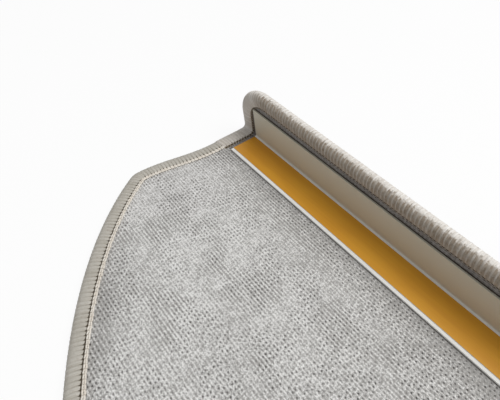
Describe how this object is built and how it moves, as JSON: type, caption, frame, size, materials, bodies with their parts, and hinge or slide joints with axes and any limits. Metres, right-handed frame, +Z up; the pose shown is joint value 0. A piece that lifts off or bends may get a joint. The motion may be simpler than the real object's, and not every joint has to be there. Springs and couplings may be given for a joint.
{
  "type": "anti slip stair tread mat",
  "caption": "Carpet stair tread mat with a curved back edge, a bound rim, a folded nosing lip, an angle profile in the fold and mounting tape under a release liner.",
  "frame": {"origin": "middle of the mat's outline at the level of the pile face, which lies on the floor", "axes": "+X along the nosing, +Y from the lip to the curved back edge, +Z up out of the woven back"},
  "size_m": [0.6498, 0.2452, 0.0495],
  "materials": {
    "carpet_pile": "warm grey tufted pile in rows, matt",
    "backing_weave": "light grey plain woven backing cloth with small dark gaps and loose fibres",
    "binding_yarn": "warm grey overlocked yarn with a soft sheen",
    "sewing_thread": "cream sewing thread",
    "profile_plastic": "light grey extruded plastic, satin",
    "adhesive_film": "pale adhesive film",
    "liner_paper": "amber glazed release paper, satin"
  },
  "bodies": {
    "root": {"tufted_carpet": "carpet_pile", "woven_backing": "backing_weave", "tread_edge_binding": "binding_yarn", "lip_edge_binding": "binding_yarn", "back_chain_stitch": "sewing_thread", "lip_needle_thread": "sewing_thread", "angle_profile": "profile_plastic", "tread_bond_strip": "adhesive_film", "lip_bond_strip": "adhesive_film", "mounting_tape": "adhesive_film", "release_liner": "liner_paper"}
  },
  "joints": []
}
